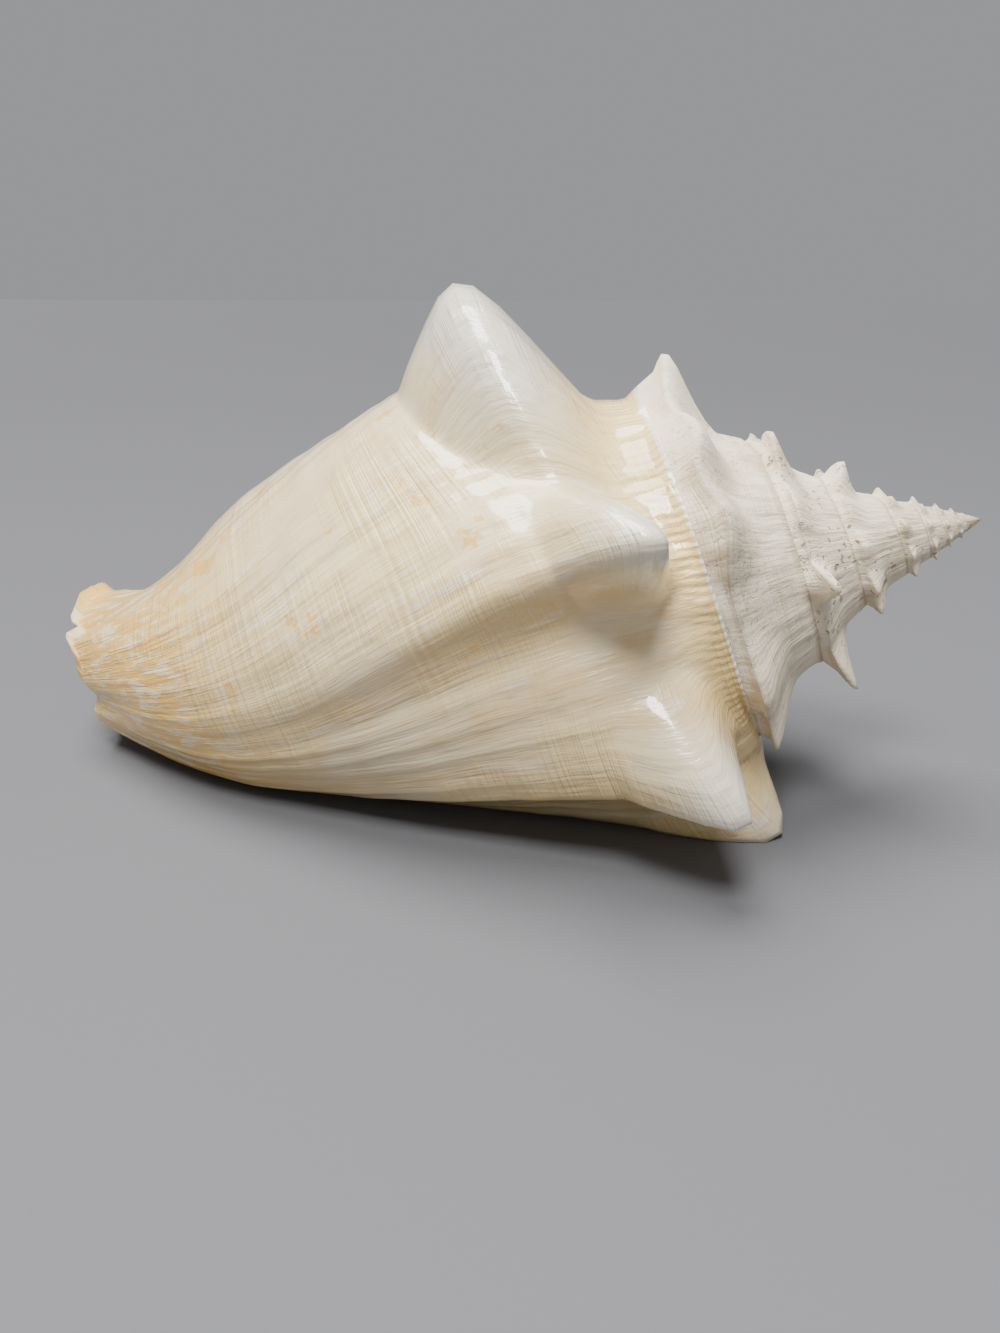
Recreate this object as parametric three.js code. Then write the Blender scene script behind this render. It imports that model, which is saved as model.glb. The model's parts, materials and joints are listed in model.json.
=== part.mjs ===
// Queen conch shell, a marine snail's shell, lying on a table with its mouth turned down.
//
// The shell is a tube that grows as it winds round an axis, so every point of its skin is
// given by two numbers: turn, how far the tube has wound, and row, the place on the whorl's
// profile from the seam with the whorl before (row 0) to the front end (row 8).
// A point is held as depth (along the axis from the apex), radius and angle about the axis.
//
// Millimetres. +X runs towards the apex, +Z is up and the table is at z = 0.
import * as THREE from 'three';

// ---------------------------------------------------------------- driving dimensions
const AXIS_TILT = THREE.MathUtils.degToRad(14.9);   // the axis rises towards the apex
const APEX_HEIGHT = 74.4;                           // height of the apex over the table
const LIP_TURN = 0.56;                              // where growth stopped, in turns
const WHORLS = 8.5;                                 // turns from the apex to the lip
const WALL = 5.5;                                   // thickness of the outer wall
const PASSAGE_TURNS = 0.5;                          // how far the hollow is open inwards
const COLUMELLA_RADIUS = 7;                         // the pillar about the axis
const CALLUS = 1.2;                                 // glaze laid over the whorl before

const COLUMNS_PER_TURN = 36;
const SPIRE_ROWS = 6;                               // rows between two seams
const BODY_ROWS = 13;                               // further rows on the last whorl
const THROAT_RINGS = 9;                             // rings from the mouth to the back of it

// The seam between whorls: turn, depth from the apex, radius.
const SEAM = [
  [-8, 2.4, 1.3], [-7, 4.2, 2.2], [-6, 6.6, 3.3], [-5, 9.8, 4.8], [-4, 14.3, 6.9],
  [-3, 20.8, 9.8], [-2.5, 26.4, 12.5], [-2, 32.8, 15.8], [-1.5, 39.4, 20.6], [-1, 46, 27],
  [-0.5, 55.5, 34.3], [0, 66, 41.5], [0.25, 74, 46], [0.56, 79, 47],
];
const RAMP_SHARE = 0.8;                             // where the shoulder lies between two seams

// Sections of the last whorl at some turns: depth, radius and lag in degrees at rows 1 to 8.
// The first lists rows 4 to 8 only, as it is still a spire whorl up to the seam.
const SECTIONS = [
  { turn: -0.44, points: [[102, 48, -3], [135, 40, -8], [170, 31, -12], [207, 21, -14],
    [240, 13, -14]] },
  { turn: -0.27, points: [[66, 41, 0], [73, 45, 0], [86, 47, 0], [109, 46.5, -1], [141, 39, -6],
    [172, 31, -11], [207, 23, -14], [246, 12, -15]] },
  { turn: -0.17, points: [[62.5, 45, 0], [70, 50, 0], [86, 55, 0], [110, 51, 0], [142, 43.5, -3],
    [174, 34.5, -8], [208, 26, -12], [246, 13, -14]] },
  { turn: -0.06, points: [[69, 43.5, 0], [78, 47, 0], [92, 52.5, 1], [114, 51, -1],
    [144, 46, -7], [175, 37.5, -15], [208, 27.5, -20], [244, 14, -22]] },
  { turn: 0.08, points: [[74, 44, 0], [84, 45, 0], [97, 49, 1], [117, 51, -2], [145, 48, -10],
    [175, 39, -20], [208, 28, -26], [240, 13, -28]] },
  { turn: 0.25, points: [[87, 49, 0], [111, 57, 0], [125, 60, 1], [139, 58, -2], [158, 52, -10],
    [181, 42.5, -20], [210, 29.5, -26], [244, 17, -28]] },
  { turn: 0.40, points: [[85, 56, 0], [104, 70, 2], [122, 76, 2], [142, 75, -1], [166, 66, -10],
    [189, 52, -24], [213, 31, -32], [247, 21, -36]] },
  { turn: 0.56, points: [[72, 75, -2], [86, 100, 3], [110, 112, 4], [140, 112, -4],
    [170, 98, -28], [196, 70, -52], [219, 33, -70], [246, 32, -62]] },
];

// Large spines on the shoulder: turn, height, half width on the older and on the newer side in
// turns, reach along the row, lean towards the apex, bluntness.
const LARGE_SPINES = [
  [0.24, 24.5, 0.1, 0.06, 0.9, -2.5, 0.5], [0.067, 18, 0.03, 0.055, 0.9, 8.5, 0.15],
  [-0.078, 19, 0.03, 0.06, 1, 7.5, 0.15], [-0.176, 12, 0.045, 0.03, 1.1, 8, 0.3],
  [-0.75, 10.5, 0.05, 0.05, 1.3, 3.7, 0.25], [-0.84, 6, 0.04, 0.05, 1.2, 4, 0.35],
  [-0.91, 5, 0.05, 0.04, 1.2, 4, 0.35], [-1.07, 7, 0.045, 0.05, 1.1, 0.5, 0.3],
  [-1.153, 7, 0.04, 0.04, 1.1, 0, 0.3], [-1.99, 8, 0.03, 0.03, 1, 3.5, 0.15],
  [-2.17, 10, 0.04, 0.045, 1, 4, 0.15], [-2.77, 4.5, 0.05, 0.05, 1.2, 3, 0.15],
];

// Small spines: turn, height.
const SMALL_SPINES = [
  [-0.275, 12], [-0.37, 10], [-0.46, 10], [-0.55, 10], [-0.64, 10], [-1.25, 7], [-1.35, 6],
  [-1.45, 6], [-1.56, 4], [-1.68, 2], [-1.79, 5], [-1.885, 2], [-2.3, 4], [-2.42, 4],
  [-2.54, 4], [-2.66, 3], [-2.86, 1.5], [-2.96, 2], [-3.06, 3.5], [-3.14, 4],
];
const SMALL_WIDTH = 0.04;
const SMALL_LEAN = 0.2;                             // lean of a small spine to its height
const SMALL_BLUNT = 0.15;
const EARLY = { from: -3.25, to: -7.5, spacing: 0.112, heightPerRadius: 0.25 };

// Ridges that run forward from the spines of the last whorl: turn, height, half width on the
// older and on the newer side.
const RIDGES = [
  [0.24, 6, 0.05, 0.05], [0.067, 12, 0.024, 0.065], [-0.078, 8, 0.028, 0.05],
  [-0.176, 6, 0.035, 0.028], [-0.275, 4, 0.03, 0.04], [-0.37, 4, 0.03, 0.04],
];

// ---------------------------------------------------------------- curves
const clamp01 = (x) => Math.min(Math.max(x, 0), 1);
const smooth = (x) => clamp01(x) ** 2 * (3 - 2 * clamp01(x));

// A smooth curve through values (arrays of numbers) at rising knots.
function through(x, knots, values) {
  const last = knots.length - 1;
  let i = 0;
  while (i < last - 1 && x >= knots[i + 1]) i += 1;
  const slope = (a, b, n) => (values[b][n] - values[a][n]) / (knots[b] - knots[a]);
  const width = knots[i + 1] - knots[i];
  const f = (x - knots[i]) / width;
  return values[i].map((_, n) => {
    const slopeIn = slope(Math.max(i - 1, 0), i + 1, n) * width;
    const slopeOut = slope(i, Math.min(i + 2, last), n) * width;
    return values[i][n] * (1 + 2 * f) * (1 - f) ** 2 + slopeIn * f * (1 - f) ** 2
      + values[i + 1][n] * f * f * (3 - 2 * f) + slopeOut * f * f * (f - 1);
  });
}

const seamTurns = SEAM.map((row) => row[0]);
const seamLogs = SEAM.map((row) => [Math.log(row[1]), Math.log(row[2])]);

// Depth and radius of the seam at a turn. They grow by a steady factor, so logs are joined.
function seam(turn) {
  return through(turn, seamTurns, seamLogs).map(Math.exp);
}

// Profile of a spire whorl: seam, ramp, shoulder, next seam, and a point under that whorl.
function spireProfile(turn) {
  const [depth0, radius0] = seam(turn);
  const [depth1, radius1] = seam(Math.min(turn + 1, LIP_TURN));
  const rise = depth1 - depth0;
  const flare = radius1 - radius0;
  const angle = 360 * turn;
  return [
    [depth0, radius0, angle],
    [depth0 + 0.42 * rise, radius0 + 0.36 * flare, angle],
    [depth0 + RAMP_SHARE * rise, radius1, angle],
    [depth1, radius1, angle],
    [1.35 * depth1, 1.02 * radius1, angle],
  ];
}

// Where the last whorl starts, its section meets the spire whorl's profile.
const FIRST_BODY_TURN = LIP_TURN - 1;
const sectionTurns = SECTIONS.map((section) => section.turn);
const sectionRows = SECTIONS.map(({ turn, points }) => {
  const rows = points.map(([depth, radius, lag]) => [depth, radius, 360 * turn + lag]);
  const spireRows = rows.length < 8 ? spireProfile(turn).slice(1, 4) : [];
  return [...spireRows, ...rows];
});

// Profile of the last whorl at rows 0 to 8.
function bodyProfile(turn) {
  const rows = through(turn, sectionTurns, sectionRows.map((row) => row.flat()));
  const points = [[...seam(turn), 360 * turn]];
  for (let i = 0; i < rows.length; i += 3) points.push(rows.slice(i, i + 3));
  return points;
}

// ---------------------------------------------------------------- spines and ridges
const lowSpines = [...SMALL_SPINES];
for (let turn = EARLY.from; turn > EARLY.to; turn -= EARLY.spacing) {
  lowSpines.push([turn, EARLY.heightPerRadius * seam(turn)[1]]);
}
const allSpines = [...LARGE_SPINES];
for (const [turn, height] of lowSpines) {
  allSpines.push([turn, height, SMALL_WIDTH, SMALL_WIDTH, 1, SMALL_LEAN * height, SMALL_BLUNT]);
}
const SHOULDER_ROW = 2;

// A cone with a hollow foot and a rounded tip: 1 at the tip and 0 at the foot.
function spineShare(across, along, blunt) {
  const distance = Math.hypot(across, along, blunt) - blunt;
  const left = clamp01(1 - distance);
  return 1.2 * left ** 2 / (left + 0.2);
}

// How far the spines push the skin outwards, and towards the apex, at a turn and row.
function spinePush(turn, row) {
  let out = 0;
  let apexward = 0;
  for (const [at, height, older, newer, reach, lean, blunt] of allSpines) {
    const across = (turn - at) / (turn < at ? older : newer);
    const along = (row - SHOULDER_ROW) / (reach * (row < SHOULDER_ROW ? 0.85 : 1.15));
    const share = spineShare(across, along, blunt);
    out += height * share;
    apexward += lean * share ** 1.5;
  }
  return [out, apexward];
}

// A ridge is steep on the side it grew from and gentle on the side it grew to.
function ridgePush(turn, row) {
  if (turn <= FIRST_BODY_TURN) return 0;
  const crest = SHOULDER_ROW + 0.3;
  const along = Math.exp(-(((row - crest) / (row > crest ? 2.3 : 0.6)) ** 2));
  let out = 0;
  for (const [at, height, older, newer] of RIDGES) {
    const across = (turn - at) / (turn < at ? older : newer);
    out += height * along * Math.exp(-(across ** 2));
  }
  return out;
}

// ---------------------------------------------------------------- the skin
// Depth, radius and angle of the skin without its spines.
function plainSkin(turn, row) {
  if (turn < FIRST_BODY_TURN - 1e-6) {
    return through(row, [0, 1, 2, 3, 4], spireProfile(turn));
  }
  return through(row, [0, 1, 2, 3, 4, 5, 6, 7, 8], bodyProfile(turn));
}

function skin(turn, row) {
  const [depth, radius, angle] = plainSkin(turn, row);
  const [spine, lean] = spinePush(turn, row);
  const own = smooth(row);
  const fromBefore = spinePush(turn - 1, 3)[0] * clamp01(1 - row / 0.4) ** 2;
  const out = own * (spine + ridgePush(turn, row)) + fromBefore;
  return [depth - own * lean, radius + out, angle];
}

// From depth, radius and angle to x, y, z. Near the front end the tube bends off the axis.
const axis = new THREE.Vector3(Math.cos(AXIS_TILT), 0, Math.sin(AXIS_TILT));
const side = new THREE.Vector3(0, -1, 0);
const over = new THREE.Vector3().crossVectors(side, axis);
const apex = new THREE.Vector3(0, 0, APEX_HEIGHT);

function place([depth, radius, angle]) {
  const turned = THREE.MathUtils.degToRad(angle);
  const bend = Math.max((depth - 185) / 60, 0) ** 1.6;
  return apex.clone()
    .addScaledVector(axis, -depth)
    .addScaledVector(side, radius * Math.cos(turned) - 10 * bend)
    .addScaledVector(over, radius * Math.sin(turned) + 6 * bend);
}

// Outward normal of the skin without its spines.
function normal(turn, row) {
  const step = 0.01;
  const near = Math.min(turn, LIP_TURN - step);
  const low = Math.min(Math.max(row, step), 8 - step);
  const alongTurn = place(plainSkin(near + step, low)).sub(place(plainSkin(near - step, low)));
  const alongRow = place(plainSkin(near, low + step)).sub(place(plainSkin(near, low - step)));
  return alongTurn.cross(alongRow).normalize();
}

// ---------------------------------------------------------------- the mesh
const positions = [];
const triangles = [];

// Adds a vertex, no lower than the table, and gives its number.
function vertex(point) {
  positions.push(point.x, point.y, Math.max(point.z, 0));
  return positions.length / 3 - 1;
}

function quad(a, b, c, d) {
  triangles.push(a, b, c, a, c, d);
}

const columns = WHORLS * COLUMNS_PER_TURN;
const lastWhorl = columns - COLUMNS_PER_TURN;
const allRows = SPIRE_ROWS + BODY_ROWS;
const turnOf = (column) => LIP_TURN - (columns - column) / COLUMNS_PER_TURN;

// Rows are evenly spaced between two seams, and evenly from there to the front end.
function rowAt(index) {
  if (index <= SPIRE_ROWS) return 3 * index / SPIRE_ROWS;
  return 3 + 5 * (index - SPIRE_ROWS) / BODY_ROWS;
}

// Row SPIRE_ROWS of a column is row 0 of the column one turn later: that is the seam.
const sheet = [];
for (let column = 0; column <= columns; column += 1) {
  const turn = turnOf(column);
  const before = column - COLUMNS_PER_TURN;
  const first = before >= 0 ? sheet[before][SPIRE_ROWS] : vertex(place(skin(turn, 0)));
  sheet[column] = [first];
  const rows = column < lastWhorl ? SPIRE_ROWS : allRows;
  for (let index = 1; index <= rows; index += 1) {
    const underSeam = column <= lastWhorl && index === SPIRE_ROWS;
    const point = underSeam
      ? place(skin(turn + 1, 0))
      : place(skin(turn, rowAt(index)));
    sheet[column][index] = vertex(point);
  }
}

for (let column = 0; column < columns; column += 1) {
  const rows = column < lastWhorl ? SPIRE_ROWS : allRows;
  for (let index = 0; index < rows; index += 1) {
    const here = sheet[column];
    const next = sheet[column + 1];
    quad(here[index], next[index], next[index + 1], here[index + 1]);
  }
}

// The apex closes the first turn.
const tip = vertex(place([0, 0, 0]));
const tipLoop = [];
for (let column = 0; column <= COLUMNS_PER_TURN; column += 1) tipLoop.push(sheet[column][0]);
for (let index = SPIRE_ROWS - 1; index > 0; index -= 1) tipLoop.push(sheet[0][index]);
tipLoop.forEach((here, i) => triangles.push(tip, tipLoop[(i + 1) % tipLoop.length], here));

// ---------------------------------------------------------------- the mouth and the throat
// The mouth's edge runs down the lip, round the front canal and back up the pillar side.
const lipLine = sheet[columns].slice(0, allRows);
const canalLine = [];
for (let column = columns; column > lastWhorl; column -= 1) canalLine.push(sheet[column][allRows]);
const pillarLine = sheet[lastWhorl].slice(SPIRE_ROWS + 1).reverse();

const mouthFront = plainSkin(FIRST_BODY_TURN, 8)[0];

// Inner side of the outer wall, some turns inwards from the lip. The hollow gets shorter
// as it goes in, so its front end draws back along the whorl.
function ceiling(inwards, row, wall) {
  const turn = LIP_TURN - inwards;
  const reach = 1 - 0.55 * smooth(inwards / PASSAGE_TURNS);
  const at = row * reach;
  const point = place(plainSkin(turn, at));
  const corner = 1 - smooth(at);
  const inset = normal(turn, at).multiplyScalar(-wall * (1 - corner));
  inset.addScaledVector(axis, -1.6 * wall * corner);
  return point.add(inset);
}

// Outer side of the whorl before, seen inside the hollow, down to the pillar.
function floor(inwards, row, glaze) {
  const turn = FIRST_BODY_TURN - inwards;
  const deep = inwards / PASSAGE_TURNS;
  const [depth, radius] = plainSkin(FIRST_BODY_TURN, row);
  const [seamDepth, seamRadius] = seam(LIP_TURN - inwards);
  const [mouthDepth, mouthRadius] = seam(LIP_TURN);
  const front = mouthFront - 90 * smooth(deep);
  const start = seamDepth + 1.6 * WALL * glaze;
  const share = (depth - mouthDepth) / (mouthFront - mouthDepth);
  const radiusShare = (radius - COLUMELLA_RADIUS) / (mouthRadius - COLUMELLA_RADIUS);
  const shrunk = radiusShare * (1 - 0.45 * deep * clamp01(2 * share));
  const grown = COLUMELLA_RADIUS + (seamRadius - COLUMELLA_RADIUS) * shrunk;
  return place([start + (front - start) * share, grown + CALLUS * glaze, 360 * turn]);
}

// Rings lead from the mouth's edge round the thickness of the lip and into the throat.
const rimOf = (column) => {
  const turn = turnOf(column);
  const share = (columns - column) / COLUMNS_PER_TURN;
  const wall = WALL * 0.7 * smooth(5 * (1 - share));
  return place(skin(turn, 8)).addScaledVector(normal(turn, 8), -wall);
};
const canalRim = [];
for (let column = columns; column >= lastWhorl; column -= 1) canalRim.push(rimOf(column));

function ring(inwards, wallShare, push) {
  const wall = WALL * wallShare;
  const forward = axis.clone().multiplyScalar(-push);
  const points = [];
  for (let index = 0; index < allRows; index += 1) {
    const row = rowAt(index);
    const grow = place(plainSkin(LIP_TURN, row)).sub(place(plainSkin(LIP_TURN - 0.01, row)));
    const onward = grow.normalize().multiplyScalar(push * smooth(row));
    points.push(ceiling(inwards, row, wall).add(onward));
  }
  const from = ceiling(inwards, 8, wall);
  const to = floor(inwards, 8, wallShare);
  const open = 1 - smooth(1.6 * inwards / PASSAGE_TURNS);
  for (let i = 0; i < COLUMNS_PER_TURN; i += 1) {
    const share = i / COLUMNS_PER_TURN;
    const column = columns - i;
    const outer = place(skin(turnOf(column), 8));
    const rim = outer.lerp(canalRim[i], wallShare);
    const chord = canalRim[0].clone().lerp(canalRim[COLUMNS_PER_TURN], share);
    const bow = rim.sub(chord).multiplyScalar(i > 0 ? open : 0);
    points.push(from.clone().lerp(to, share).add(bow).add(forward));
  }
  for (let index = allRows; index > SPIRE_ROWS; index -= 1) {
    points.push(floor(inwards, rowAt(index), wallShare));
  }
  return points;
}

const loops = [[...lipLine, ...canalLine, ...pillarLine]];
loops.push(ring(0, 0.5, 1.5).map(vertex));
for (let i = 0; i <= THROAT_RINGS; i += 1) {
  loops.push(ring(PASSAGE_TURNS * (i / THROAT_RINGS) ** 1.2, 1, 0).map(vertex));
}

for (let i = 1; i < loops.length; i += 1) {
  const outer = loops[i - 1];
  const inner = loops[i];
  outer.forEach((_, n) => {
    const m = (n + 1) % outer.length;
    quad(outer[n], inner[n], inner[m], outer[m]);
  });
}

// The back of the throat is closed by a fan.
const back = loops.at(-1);
const middle = new THREE.Vector3();
for (const index of back) {
  middle.add(new THREE.Vector3().fromArray(positions, 3 * index));
}
const centre = vertex(middle.divideScalar(back.length));
back.forEach((here, n) => triangles.push(here, centre, back[(n + 1) % back.length]));

// ---------------------------------------------------------------- the part
const geometry = new THREE.BufferGeometry();
geometry.setAttribute('position', new THREE.Float32BufferAttribute(positions, 3));
geometry.setIndex(triangles);
geometry.computeBoundingBox();
const box = geometry.boundingBox;
geometry.translate(-(box.min.x + box.max.x) / 2, -(box.min.y + box.max.y) / 2, 0);
geometry.computeVertexNormals();

const shell = new THREE.Mesh(
  geometry,
  new THREE.MeshStandardMaterial({ color: 0xe9dcc0, roughness: 0.45, metalness: 0 }),
);
shell.name = 'shell';

const part = new THREE.Group();
part.add(shell);
export default part;
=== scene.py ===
"""Queen conch shell, lying mouth down: its detailed skin, finish and a plain studio.

A shell is a tube that grows as it winds round an axis, so each point of the skin is given
by two numbers: turn, how far the tube has wound, and row, the place on the whorl's profile
from the seam with the whorl before (row 0) to the front end (row 8).
"""
import json
import math

import bpy
import numpy as np
from bpy.props import FloatProperty, FloatVectorProperty, IntProperty, PointerProperty
from mathutils import Matrix, Vector

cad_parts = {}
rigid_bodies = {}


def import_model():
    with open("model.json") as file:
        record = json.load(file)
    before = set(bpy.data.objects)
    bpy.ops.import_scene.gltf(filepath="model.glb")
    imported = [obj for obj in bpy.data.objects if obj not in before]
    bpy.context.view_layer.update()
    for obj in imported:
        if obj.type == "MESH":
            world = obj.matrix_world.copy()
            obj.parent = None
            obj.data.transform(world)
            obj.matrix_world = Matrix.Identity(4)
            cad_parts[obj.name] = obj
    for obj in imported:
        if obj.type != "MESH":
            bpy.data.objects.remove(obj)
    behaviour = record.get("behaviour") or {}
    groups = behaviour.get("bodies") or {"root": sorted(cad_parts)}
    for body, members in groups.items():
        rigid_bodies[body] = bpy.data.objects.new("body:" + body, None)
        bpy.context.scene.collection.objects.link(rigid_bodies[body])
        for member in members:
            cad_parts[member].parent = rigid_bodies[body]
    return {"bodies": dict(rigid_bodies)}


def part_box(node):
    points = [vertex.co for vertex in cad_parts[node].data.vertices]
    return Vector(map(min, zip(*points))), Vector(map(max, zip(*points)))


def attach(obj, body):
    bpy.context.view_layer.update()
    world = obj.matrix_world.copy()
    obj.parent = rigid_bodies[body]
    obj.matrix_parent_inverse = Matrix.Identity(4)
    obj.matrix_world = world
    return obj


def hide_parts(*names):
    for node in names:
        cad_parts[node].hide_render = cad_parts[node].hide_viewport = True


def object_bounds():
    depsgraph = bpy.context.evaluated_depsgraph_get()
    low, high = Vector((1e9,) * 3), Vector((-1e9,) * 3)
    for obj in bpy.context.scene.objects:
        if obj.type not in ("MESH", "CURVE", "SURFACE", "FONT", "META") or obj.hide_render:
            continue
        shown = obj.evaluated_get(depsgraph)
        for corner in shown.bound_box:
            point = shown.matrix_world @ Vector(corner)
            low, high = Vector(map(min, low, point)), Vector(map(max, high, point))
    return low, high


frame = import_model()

bl_info = {
    "name": "Queen Conch Shell",
    "version": (1, 0, 0),
    "blender": (4, 5, 0),
    "location": "View3D > Sidebar > Conch",
    "description": "Makes a queen conch shell from its growth, with its finish and a studio",
    "category": "Add Mesh",
}

CAD_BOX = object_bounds()
NODE = "shell"
BODY = next(iter(frame["bodies"]))
MM = 0.001

# ------------------------------------------------------------------ driving dimensions, mm
AXIS_TILT = math.radians(14.9)      # the axis rises towards the apex
APEX_HEIGHT = 74.4                  # height of the apex over the table
LIP_TURN = 0.56                     # where growth stopped, in turns
WHORLS = 8.5                        # turns from the apex to the lip
FIRST_BODY_TURN = LIP_TURN - 1      # start of the last whorl
PASSAGE_TURNS = 0.5                 # how far the hollow is open inwards
COLUMELLA_RADIUS = 7                # the pillar about the axis
CALLUS = 1.2                        # glaze laid over the whorl before
LAP = 0.022                         # step of a whorl over the one before, to its radius
GROWTH_RELIEF = 0.0035              # height of growth lines, to the radius
PAUSE_RELIEF = 0.0055               # height of the swells where growth paused
CORD_RELIEF = 0.0025                # height of spiral cords
WORN = 1.4                          # how much stronger relief is on the weathered spire
RELIEF_RADIUS = 50                  # relief stops growing with the radius here
LIP_WAVE = 0.9                      # degrees the lip's edge waves back and forth
NOTCH_TURN = 0.29                   # place of the notch in the front end, in turns
NOTCH_DEPTH = 4
SHOULDER_ROW = 2
FRONT_ROW = 8

# The seam between whorls: turn, depth from the apex, radius.
SEAM = np.array([
    [-8, 2.4, 1.3], [-7, 4.2, 2.2], [-6, 6.6, 3.3], [-5, 9.8, 4.8], [-4, 14.3, 6.9],
    [-3, 20.8, 9.8], [-2.5, 26.4, 12.5], [-2, 32.8, 15.8], [-1.5, 39.4, 20.6], [-1, 46, 27],
    [-0.5, 55.5, 34.3], [0, 66, 41.5], [0.25, 74, 46], [0.56, 79, 47],
])
RAMP_SHARE = 0.8                    # where the shoulder lies between two seams

# Sections of the last whorl at some turns: depth, radius and lag in degrees at rows 1 to 8.
# The first lists rows 4 to 8 only, as it is still a spire whorl up to the seam.
SECTIONS = {
    -0.44: [(102, 48, -3), (135, 40, -8), (170, 31, -12), (207, 21, -14), (240, 13, -14)],
    -0.27: [(66, 41, 0), (73, 45, 0), (86, 47, 0), (109, 46.5, -1), (141, 39, -6),
            (172, 31, -11), (207, 23, -14), (246, 12, -15)],
    -0.17: [(62.5, 45, 0), (70, 50, 0), (86, 55, 0), (110, 51, 0), (142, 43.5, -3),
            (174, 34.5, -8), (208, 26, -12), (246, 13, -14)],
    -0.06: [(69, 43.5, 0), (78, 47, 0), (92, 52.5, 1), (114, 51, -1), (144, 46, -7),
            (175, 37.5, -15), (208, 27.5, -20), (244, 14, -22)],
    0.08: [(74, 44, 0), (84, 45, 0), (97, 49, 1), (117, 51, -2), (145, 48, -10),
           (175, 39, -20), (208, 28, -26), (240, 13, -28)],
    0.25: [(87, 49, 0), (111, 57, 0), (125, 60, 1), (139, 58, -2), (158, 52, -10),
           (181, 42.5, -20), (210, 29.5, -26), (244, 17, -28)],
    0.40: [(85, 56, 0), (104, 70, 2), (122, 76, 2), (142, 75, -1), (166, 66, -10),
           (189, 52, -24), (213, 31, -32), (247, 21, -36)],
    0.56: [(72, 75, -2), (86, 100, 3), (110, 112, 4), (140, 112, -4), (170, 98, -28),
           (196, 70, -52), (219, 33, -70), (246, 32, -62)],
}

# Large spines on the shoulder: turn, height, half width on the older and on the newer side in
# turns, reach along the row, lean towards the apex, bluntness.
LARGE_SPINES = [
    (0.24, 22.5, 0.085, 0.06, 0.9, 4.0, 0.6), (0.067, 18, 0.03, 0.055, 0.9, 8.5, 0.15),
    (-0.078, 19, 0.03, 0.06, 1, 7.5, 0.15), (-0.176, 12, 0.045, 0.03, 1.1, 8, 0.3),
    (-0.75, 10.5, 0.05, 0.05, 1.3, 3.7, 0.25), (-0.84, 6, 0.04, 0.05, 1.2, 4, 0.35),
    (-0.91, 5, 0.05, 0.04, 1.2, 4, 0.35), (-1.07, 7, 0.045, 0.05, 1.1, 0.5, 0.3),
    (-1.153, 7, 0.04, 0.04, 1.1, 0, 0.3), (-1.99, 8, 0.03, 0.03, 1, 3.5, 0.15),
    (-2.17, 10, 0.04, 0.045, 1, 4, 0.15), (-2.77, 4.5, 0.05, 0.05, 1.2, 3, 0.15),
]

# Small spines: turn, height.
SMALL_SPINES = [
    (-0.275, 12), (-0.37, 10), (-0.46, 10), (-0.55, 10), (-0.64, 10), (-1.25, 7), (-1.35, 6),
    (-1.45, 6), (-1.56, 4), (-1.68, 2), (-1.79, 5), (-1.885, 2), (-2.3, 4), (-2.42, 4),
    (-2.54, 4), (-2.66, 3), (-2.86, 1.5), (-2.96, 2), (-3.06, 3.5), (-3.14, 4),
]

# Ridges that run forward from the spines of the last whorl: turn, height, half width on the
# older and on the newer side.
RIDGES = [
    (0.24, 5.5, 0.08, 0.05), (0.067, 13.5, 0.02, 0.065), (-0.078, 8, 0.028, 0.05),
    (-0.176, 6, 0.035, 0.028), (-0.275, 4, 0.03, 0.04), (-0.37, 4, 0.03, 0.04),
]


# ------------------------------------------------------------------ curves
def smooth(x):
    """3x^2 - 2x^3 between 0 and 1, flat outside."""
    x = np.clip(x, 0, 1)
    return x * x * (3 - 2 * x)


def through(x, knots, values):
    """A smooth curve through values at rising knots, each piece a cubic whose end slopes
    are the slopes between the neighbouring knots. x is an array; values may be arrays."""
    knots = np.asarray(knots, float)
    values = np.asarray(values, float)
    spread = (-1,) + (1,) * (values.ndim - 1)
    slopes = np.empty_like(values)
    slopes[0] = (values[1] - values[0]) / (knots[1] - knots[0])
    slopes[-1] = (values[-1] - values[-2]) / (knots[-1] - knots[-2])
    slopes[1:-1] = (values[2:] - values[:-2]) / (knots[2:] - knots[:-2]).reshape(spread)
    i = np.clip(np.searchsorted(knots, x, side="right") - 1, 0, len(knots) - 2)
    width = (knots[i + 1] - knots[i]).reshape(spread)
    f = (x - knots[i]).reshape(spread) / width
    return (values[i] * (1 + 2 * f) * (1 - f) ** 2 + slopes[i] * width * f * (1 - f) ** 2
            + values[i + 1] * f * f * (3 - 2 * f) + slopes[i + 1] * width * f * f * (f - 1))


def seam(turn):
    """Depth and radius of the seam. They grow by a steady factor, so logs are joined."""
    return np.exp(through(turn, SEAM[:, 0], np.log(SEAM[:, 1:]))).T


def spire_profile(turn):
    """Depth, radius and angle of a spire whorl at rows 0 to 4: seam, ramp, shoulder, next
    seam, and a point under that whorl. The result is (row, turn, 3)."""
    depth0, radius0 = seam(turn)
    depth1, radius1 = seam(np.minimum(turn + 1, LIP_TURN))
    rise, flare = depth1 - depth0, radius1 - radius0
    depths = [depth0, depth0 + 0.42 * rise, depth0 + RAMP_SHARE * rise, depth1, 1.35 * depth1]
    radii = [radius0, radius0 + 0.36 * flare, radius1, radius1, 1.02 * radius1]
    return np.stack([np.stack([d, r, 360 * turn], -1) for d, r in zip(depths, radii)])


def section_table():
    """Knots in turns, and (section, row, 3) of depth, radius and angle for rows 1 to 8."""
    start = spire_profile(np.array([FIRST_BODY_TURN]))[1:4, 0]
    table = []
    for turn, points in SECTIONS.items():
        rows = np.array(points) + [0, 0, 360 * turn]
        table.append(rows if len(rows) == FRONT_ROW else np.vstack([start, rows]))
    return list(SECTIONS), np.array(table)


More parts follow.
